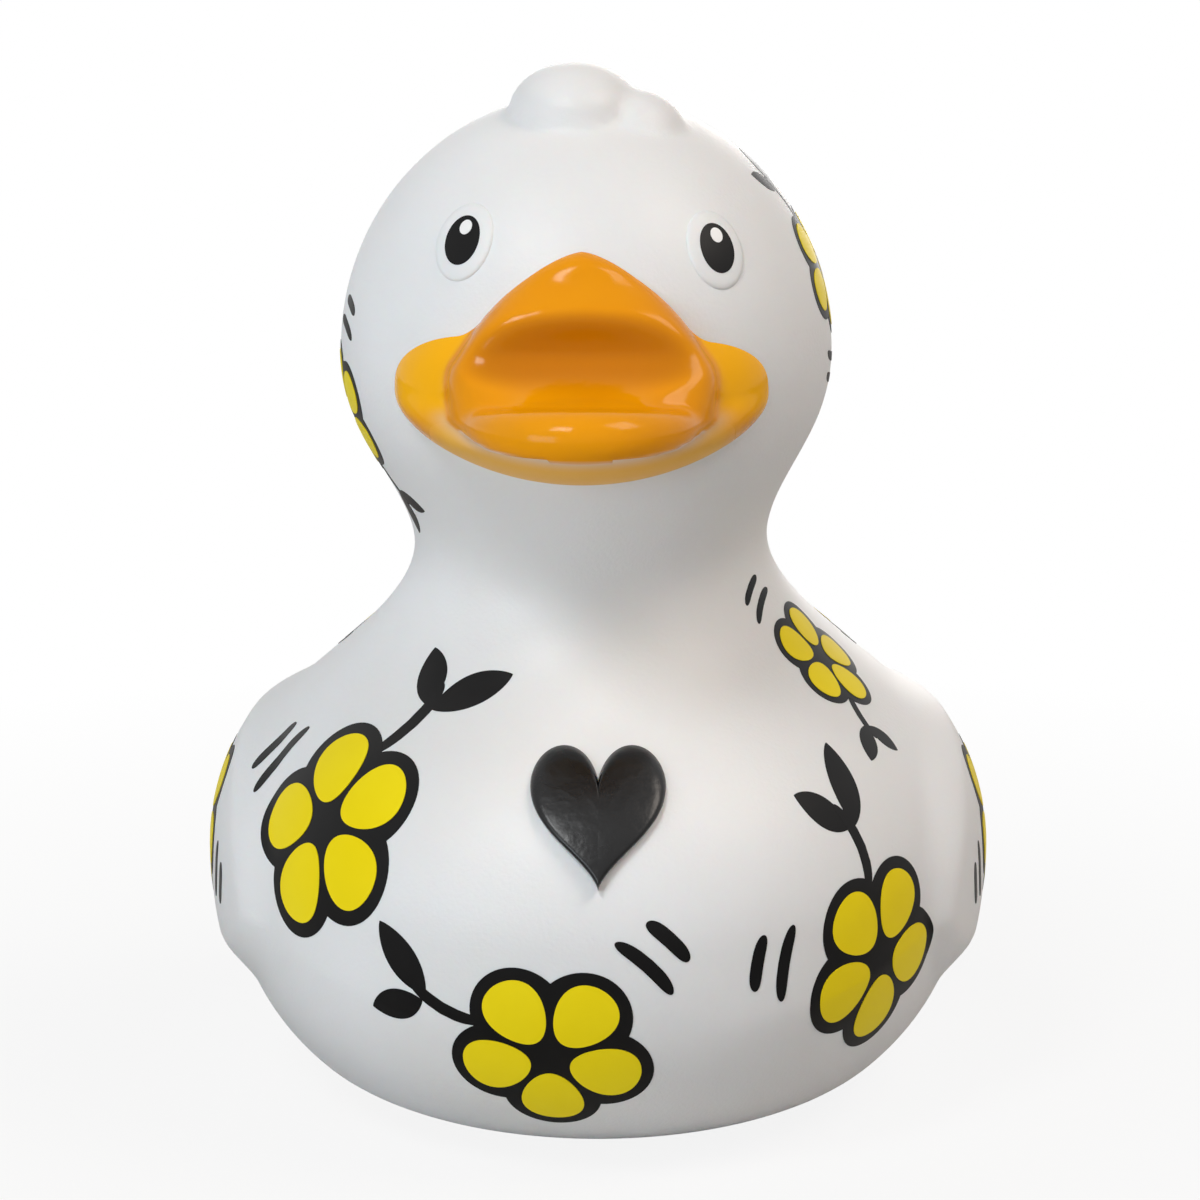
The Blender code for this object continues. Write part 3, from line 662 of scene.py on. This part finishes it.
def keep_share(piece, name, values):
    attribute = piece.data.attributes.new(name, "FLOAT", "POINT")
    attribute.data.foreach_set("value", np.asarray(values, float))


jaw_lead = upper_gap - jaw_gap
on_jaw = ease(jaw_lead / (0.5 * MM) + 0.5)
low_on_jaw = ease((0.5 * MM - above) / (2.0 * MM)) * on_jaw
thin = low_on_jaw * ease((15.5 * MM - across) / (4.0 * MM))
under_lip = ease((-above - 0.72 * lip_radius) / (0.16 * lip_radius)) * (1.0 - on_jaw)
beside_lip = ease(1.0 - jaw_lead / (1.3 * MM)) * on_jaw
beside_lip = beside_lip * ease((1.0 * MM - above) / (1.5 * MM))
beside_lip = beside_lip * (1.0 - 0.6 * ease((across - 8.0 * MM) / (4.0 * MM)))
# Painted shade: the scoop gets a darker orange where it faces down, away from the light.
painted_scoop_shade = ease(1.0 - scoop_form(across, ahead, above) / (1.2 * MM)) * (1.0 - on_jaw)
painted_scoop_shade = painted_scoop_shade * ease((above - 1.5 * MM) / (3.0 * MM))
# Painted light: the cheeks get a lighter, yellower orange, as where they catch the light.
painted_cheek_light = on_jaw * ease((above + 2.0 * MM) / (3.0 * MM))
PAINT_SHARES = {
    "scoop_shade_share": (painted_scoop_shade, srgb(199, 119, 2)),
    "cheek_light_share": (painted_cheek_light, srgb(254, 182, 3)),
    "thin_share": (thin, srgb(238, 180, 74)),
    "bare_share": (np.maximum(under_lip, beside_lip), srgb(231, 205, 183)),
}


def tint(tree, factor, base, colour):
    """The base colour turned into another one by the factor."""
    blend = node(tree, "ShaderNodeMix", data_type="RGBA")
    inputs = {socket.name: socket for socket in blend.inputs if socket.type == "RGBA"}
    tree.links.new(factor, blend.inputs["Factor"])
    tree.links.new(base, inputs["A"])
    inputs["B"].default_value = colour
    return [socket for socket in blend.outputs if socket.type == "RGBA"][0]


orange, tree, shader = new_material("orange_gloss")
coat = ramp_between(tree, add_noise(tree, 60.0), srgb(232, 145, 2), srgb(240, 156, 3))
shares = {}
for name, (values, colour) in PAINT_SHARES.items():
    keep_share(bill, name, values)
    shares[name] = node(tree, "ShaderNodeAttribute", attribute_name=name).outputs["Fac"]
    coat = tint(tree, shares[name], coat, colour)
    print(name, "points at more than half:", int((values > 0.5).sum()))
tree.links.new(coat, shader.inputs["Base Color"])
dull = node(tree, "ShaderNodeMath", operation="MAXIMUM")
tree.links.new(shares["thin_share"], dull.inputs[0])
tree.links.new(shares["bare_share"], dull.inputs[1])
vary_roughness(tree, shader, dull.outputs[0], 0.13, 0.42)
shader.inputs["Specular IOR Level"].default_value = 0.13
add_bump(tree, shader, add_noise(tree, 260.0, detail=3.0, size=(1.0, 1.0, 0.5)), 0.22 * MM, 0.6)
give_material(bill, orange)

# %% [markdown]
# ## Pads that follow the skin
#
# The eyes, the heart and every printed shape are discs that lie on the skin. A disc is inset ring
# by ring, its rings are pulled into the outline, and its points are sent down on to the skin. A
# lift for each ring then gives a flat top with a rounded edge, or a film of ink. A spot is a point
# of the skin with three directions: out of it, across and up.

# %% Helpers for pads
STANDOFF = 14.0 * MM
SPOT_RAY = 60 * MM


def inset_disc(count, steps):
    """A disc of radius 1 with a ring of faces for each step."""
    clear_selection()
    bpy.ops.mesh.primitive_circle_add(vertices=count, radius=1.0, fill_type="NGON")
    disc = bpy.context.object
    bpy.ops.object.mode_set(mode="EDIT")
    for step in steps:
        bpy.ops.mesh.inset(thickness=step)
    bpy.ops.object.mode_set(mode="OBJECT")
    return disc


def normal_at(point):
    """The outward direction of the skin."""
    step = 0.05 * MM
    shifts = np.eye(3) * step
    slope = np.array([skin_form((point + s)[None])[0] - skin_form((point - s)[None])[0] for s in shifts])
    return slope / np.linalg.norm(slope)


def leave_skin(origin, ray):
    """The point where one ray leaves the skin."""
    return cast(skin_form, np.array([origin]), np.array([ray]), SPOT_RAY)[0]


def spot_at(point, out):
    """A spot from its point and the direction out of it."""
    across = np.cross((0.0, 0.0, 1.0), out)
    across = across / np.linalg.norm(across)
    return point, out, across, np.cross(out, across)


def spot_on(origin, azimuth, rise=0.0):
    """The spot where a ray from the origin leaves the skin; the angles are in degrees."""
    azimuth, rise = math.radians(azimuth), math.radians(rise)
    level = math.cos(rise)
    ray = np.array((level * math.sin(azimuth), -level * math.cos(azimuth), math.sin(rise)))
    point = leave_skin(origin, ray)
    return spot_at(point, normal_at(point))


def rotate(x, y, turn):
    """A point turned about the middle."""
    return x * math.cos(turn) - y * math.sin(turn), x * math.sin(turn) + y * math.cos(turn)


def lay_on_skin(disc, spot, outline, lift, turn=0.0, shift=(0.0, 0.0), bend=0.0, tilt=0.0):
    """Shapes a disc to an outline in mm and lays it on the skin, lifted by a function of its ring.

    The shape is bent and tilted about its own middle, shifted, and turned about the spot.
    """
    place, out, across, up = spot
    flat = read_points(disc)
    ring = np.hypot(flat[:, 0], flat[:, 1])
    x, y = outline(np.arctan2(flat[:, 1], flat[:, 0]))
    x, y = x * ring, y * ring
    x, y = rotate(x, y + bend * x * x, tilt)
    x, y = rotate(x + shift[0], y + shift[1], turn)
    starts = place + out * STANDOFF + (x[:, None] * across + y[:, None] * up) * MM
    down = np.tile(-out, (len(starts), 1))
    found = cast(lambda points: -skin_form(points), starts, down, 2 * STANDOFF)
    write_points(disc, found + out * np.asarray(lift(ring)).reshape(-1, 1) * MM)


def finish_pad(piece, name, material):
    piece.name = name
    give_material(piece, material)
    pick(piece)
    bpy.ops.object.shade_smooth_by_angle(angle=math.radians(60))
    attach(piece, "root")


def thicken(piece, thickness):
    """Gives a film its underside, sunk into the skin, so that it is closed."""
    wall = piece.modifiers.new("underside", "SOLIDIFY")
    wall.thickness = thickness
    wall.offset = -1.0
    apply_modifiers(piece)


# %% [markdown]
# ## Eyes
#
# Each eye is a low oval pad on the face, 0.28 mm proud with a rounded edge, and has a printed
# pupil and a white glint. The pad is plain vinyl. Pupil and glint are ink, so they are films that
# lie on the pad. Outlines, shifts and lifts are in mm, and the lean of the ovals is in degrees.

# %% Eyes
EYE_SPREAD, EYE_RISE, EYE_LEAN = 11.2, 14.45, 6.0
EYE_PAD, PUPIL, GLINT = (3.0, 3.85), (1.76, 2.38), (0.62, 0.72)
GLINT_SHIFT = (0.15, 1.2)
PAD_RINGS = (0.0, 0.7, 0.86, 0.93, 0.97, 1.0)
PAD_LIFTS = (0.28, 0.28, 0.25, 0.19, 0.08, -0.4)
FORWARD = np.array((0.0, -1.0, 0.0))


def oval(half_width, half_height):
    return lambda turn: (half_width * np.cos(turn), half_height * np.sin(turn))


def pad_lift(ring):
    return np.interp(ring, PAD_RINGS, PAD_LIFTS)


def film_lift(height):
    return lambda ring: np.full(len(ring), height)


ink, tree, shader = drifting_material("black_ink", 90.0, srgb(14, 14, 15), srgb(24, 23, 23))
vary_roughness(tree, shader, add_noise(tree, 240.0), 0.30, 0.42)
shader.inputs["Specular IOR Level"].default_value = 0.12
white_ink, tree, shader = drifting_material("white_ink", 90.0, srgb(238, 238, 238), srgb(246, 246, 246))
shader.inputs["Roughness"].default_value = 0.35

for side, hand in ((-1, "left"), (1, "right")):
    above = EYE_RISE * MM - MOUTH_DROP
    eye = face_turn(HEAD_CENTRE + np.array((side * EYE_SPREAD * MM, 0.0, above)))
    front = leave_skin(eye, FORWARD)
    spot = spot_at(front, (front - HEAD_CENTRE) / np.linalg.norm(front - HEAD_CENTRE))
    lean = math.radians(-side * EYE_LEAN)
    pad = inset_disc(72, (0.03, 0.04, 0.07, 0.14, 0.18, 0.18, 0.18, 0.12))
    lay_on_skin(pad, spot, oval(*EYE_PAD), pad_lift, turn=lean)
    finish_pad(pad, "eye_pad_" + hand, vinyl)
    pupil = inset_disc(64, (0.1, 0.15, 0.2, 0.2, 0.2, 0.1))
    lay_on_skin(pupil, spot, oval(*PUPIL), film_lift(0.31), turn=lean)
    thicken(pupil, 0.3 * MM)
    finish_pad(pupil, "pupil_" + hand, ink)
    glint = inset_disc(40, (0.3, 0.3, 0.3))
    lay_on_skin(glint, spot, oval(*GLINT), film_lift(0.34), turn=lean, shift=GLINT_SHIFT)
    thicken(glint, 0.2 * MM)
    finish_pad(glint, "glint_" + hand, white_ink)
    print(hand, "eye at mm:", [round(value / MM, 1) for value in front])

# %% [markdown]
# ## Heart
#
# The heart on the chest is moulded 1.3 mm proud, with a rounded edge, and painted with a black
# satin that has a slight orange peel.

# %% Heart
HEART_HALF_WIDTH = 6.1
HEART_HEIGHT = 34.6 * MM
HEART_RINGS = (0.0, 0.79, 0.84, 0.88, 0.92, 0.95, 0.975, 0.99, 1.0)
HEART_LIFTS = (1.3, 1.3, 1.28, 1.22, 1.11, 0.96, 0.72, 0.4, -0.8)


def heart(turn):
    """A plain heart about its own middle; a quarter turn starts it at the notch."""
    t = math.pi / 2 - turn
    across = 16.0 * np.sin(t) ** 3
    up = 13.0 * np.cos(t) - 5.0 * np.cos(2 * t) - 2.0 * np.cos(3 * t) - np.cos(4 * t)
    return across * HEART_HALF_WIDTH / 16.0, (up + 2.5) * HEART_HALF_WIDTH / 16.0


def heart_lift(ring):
    return np.interp(ring, HEART_RINGS, HEART_LIFTS)


black_satin, tree, shader = drifting_material("black_satin", 70.0, srgb(15, 15, 16), srgb(25, 25, 26))
vary_roughness(tree, shader, add_noise(tree, 300.0), 0.22, 0.34)
shader.inputs["Specular IOR Level"].default_value = 0.3
add_bump(tree, shader, add_noise(tree, 900.0, detail=2.0), 0.10 * MM, 0.5)

chest = leave_skin(np.array((stand.x, stand.y, HEART_HEIGHT)), FORWARD)
badge = inset_disc(144, (0.01, 0.015, 0.025, 0.03, 0.04, 0.04, 0.05, 0.2, 0.2, 0.2, 0.15))
lay_on_skin(badge, spot_at(chest, FORWARD), heart, heart_lift)
finish_pad(badge, "heart", black_satin)
print("heart at mm:", [round(value / MM, 1) for value in chest])

# %% [markdown]
# ## Print
#
# The print is pad-printed: a thick black drawing with bright yellow laid into it. Each flower has
# five round petals in one black outline, a black middle, a stem with two leaves, and two short
# strokes beside it. The black shapes are films up to 0.05 mm high, and the yellow ones lie
# 0.06 mm above those. The flowers stand all round the body and the head, the largest on the
# chest. They keep clear of the wings' lower edges, where a film would have a step to climb.

# %% Flowers, leaves and strokes
def five_lobes(radius, grow):
    """Five round lobes in one outline, grown by some mm on all sides."""
    middle, lobe = 0.60 * radius, 0.40 * radius + grow

    def outline(turn):
        step = 2.0 * math.pi / 5
        delta = (turn + step / 2) % step - step / 2
        reach = middle * np.cos(delta) + np.sqrt(np.maximum(lobe**2 - (middle * np.sin(delta)) ** 2, 0.0))
        return reach * np.cos(turn), reach * np.sin(turn)

    return outline


def petal(radius):
    """An oval that is wider towards its outer end."""
    length, width = 0.34 * radius, 0.295 * radius

    def outline(turn):
        return length * np.cos(turn), width * np.sin(turn) * (1.0 + 0.22 * np.cos(turn))

    return outline


def leaf(half_length, half_width):
    """A leaf with a point at both ends."""

    def outline(turn):
        side = np.sin(turn)
        return half_length * np.cos(turn), half_width * np.sign(side) * np.abs(side) ** 1.7

    return outline


def stroke(half_length, half_width):
    """A line with round ends."""

    def outline(turn):
        side = np.cos(turn)
        return half_length * np.sign(side) * np.abs(side) ** 0.5, half_width * np.sin(turn)

    return outline


FLOWER_DISC = inset_disc(120, (0.07,) * 13)
PETAL_DISC = inset_disc(56, (0.12,) * 8)
STROKE_DISC = inset_disc(48, (0.20,) * 4)
# heights of the films in mm
BLACK_FILM, STEM_FILM, YELLOW_FILM = 0.05, 0.04, 0.11
# as shares of the flower's radius: width of the black line and distance of the petals
LINE_SHARE, PETAL_SHIFT = 0.12, 0.545
# the same for the stem: its middle, half length and half width
STEM = (1.12, 0.42, 0.065)
# the same for each leaf: along and beside the stem, half length and half width; then its tilt in
# radians and its film's height in mm
LEAVES = (
    (1.62, -0.20, 0.36, 0.17, -0.5, 0.04),
    (1.52, 0.26, 0.30, 0.15, 0.8, 0.03),
)
# the same for each stroke: distance from the flower's middle and half length
STROKES = ((1.30, 0.38), (1.58, 0.28))
STROKE_HALF_WIDTH, STROKE_BEND = 0.062, 0.35
black_shapes, yellow_shapes = [], []


def draw(shapes, disc, spot, outline, height, **place):
    """Lays a copy of a disc on the skin as one film of the print."""
    pick(disc)
    bpy.ops.object.duplicate()
    shape = bpy.context.object
    lay_on_skin(shape, spot, outline, film_lift(height), **place)
    shapes.append(shape)


def add_flower(spot, radius, stem_turn, stem_bend):
    """A flower at a spot; the stem leaves it at an angle in degrees from the right."""
    line = LINE_SHARE * radius
    turn = math.radians(stem_turn)
    first = turn + math.pi / 5
    draw(black_shapes, FLOWER_DISC, spot, five_lobes(radius - line, line), BLACK_FILM, turn=first)
    place = {"shift": (PETAL_SHIFT * radius, 0.0)}
    for i in range(5):
        place["turn"] = first + 2.0 * math.pi * i / 5
        draw(yellow_shapes, PETAL_DISC, spot, petal(radius), YELLOW_FILM, **place)
    middle, half_length, half_width = (share * radius for share in STEM)
    place = {"turn": turn, "bend": stem_bend / radius, "shift": (middle, 0.0)}
    draw(black_shapes, STROKE_DISC, spot, stroke(half_length, half_width), STEM_FILM, **place)
    for along, beside, half_length, half_width, tilt, height in LEAVES:
        outline = leaf(half_length * radius, half_width * radius)
        place = {"turn": turn, "tilt": tilt, "shift": (along * radius, beside * radius)}
        draw(black_shapes, PETAL_DISC, spot, outline, height, **place)


def add_strokes(spot, radius, stroke_turn):
    """Two short curved strokes, one behind the other, beside a flower."""
    place = {"turn": math.radians(stroke_turn), "tilt": math.pi / 2, "bend": STROKE_BEND / radius}
    for distance, half_length in STROKES:
        outline = stroke(half_length * radius, STROKE_HALF_WIDTH * radius)
        place["shift"] = (distance * radius, 0.0)
        draw(black_shapes, STROKE_DISC, spot, outline, BLACK_FILM, **place)


# direction from straight ahead in degrees, height above the ground in mm (on the head, the ray's
# rise in degrees), radius in mm, angle of the stem, bend of the stem, angle of the strokes
BODY_FLOWERS = (
    (-42, 31.5, 10.6, 75, 0.5, 160),
    (-6, 13.5, 9.4, 160, -0.5, 44),
    (41, 19.5, 9.4, 98, 0.5, 172),
    (58, 44, 6.4, 250, 0.4, 120),
    (87, 26, 8.2, 17, 0.4, 197),
    (-87, 26, 8.2, 163, -0.4, 343),
    (112, 45, 5.2, 20, 0.5, 200),
    (-112, 45, 5.2, 160, -0.5, 340),
    (141, 14.5, 7.8, 62, 0.5, 185),
    (-146, 15.5, 7.6, 112, -0.5, 230),
    (-178, 13, 7.8, 92, 0.4, 150),
)
HEAD_FLOWERS = (
    (-83, -14, 6.6, 285, 0.4, 71),
    (86, 20, 6.4, 100, 0.5, 261),
    (140, -5, 6.4, 200, 0.5, 70),
    (-142, 18, 6.6, 60, -0.5, 210),
)
placed = []
for azimuth, height, *drawing in BODY_FLOWERS:
    placed.append((spot_on(np.array((stand.x, stand.y, height * MM)), azimuth), drawing))
for azimuth, rise, *drawing in HEAD_FLOWERS:
    placed.append((spot_on(HEAD_CENTRE, azimuth, rise), drawing))
for spot, (radius, stem_turn, stem_bend, stroke_turn) in placed:
    add_flower(spot, radius, stem_turn, stem_bend)
    add_strokes(spot, radius, stroke_turn)
for disc in (FLOWER_DISC, PETAL_DISC, STROKE_DISC):
    bpy.data.objects.remove(disc)
print("black shapes:", len(black_shapes), "yellow shapes:", len(yellow_shapes))


def join_print(shapes, name, material):
    """Joins the shapes of one ink into one film."""
    pick(shapes[0])
    for shape in shapes:
        shape.select_set(True)
    bpy.ops.object.join()
    film = bpy.context.object
    thicken(film, 0.22 * MM)
    finish_pad(film, name, material)
    print(name, "faces:", len(film.data.polygons))


yellow, tree, shader = drifting_material("yellow_ink", 80.0, srgb(246, 221, 8), srgb(250, 227, 22))
vary_roughness(tree, shader, add_noise(tree, 240.0), 0.34, 0.46)
shader.inputs["Specular IOR Level"].default_value = 0.15
join_print(black_shapes, "black_print", ink)
join_print(yellow_shapes, "yellow_print", yellow)

# %% [markdown]
# ## Whistle
#
# The whistle in the base keeps its measured shape. It is turned from a hard milky plastic that
# has yellowed a little.

# %% Whistle
milky, tree, shader = drifting_material("milky_plastic", 120.0, srgb(220, 216, 206), srgb(230, 227, 219))
vary_roughness(tree, shader, add_noise(tree, 300.0), 0.32, 0.46)
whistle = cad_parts["whistle"]
for whistle_slot in whistle.material_slots:
    whistle_slot.material = milky
print("whistle slots:", len(whistle.material_slots))

# %% [markdown]
# ## Last update
#
# The view layer is brought up to date once more.

# %% Update
bpy.context.view_layer.update()
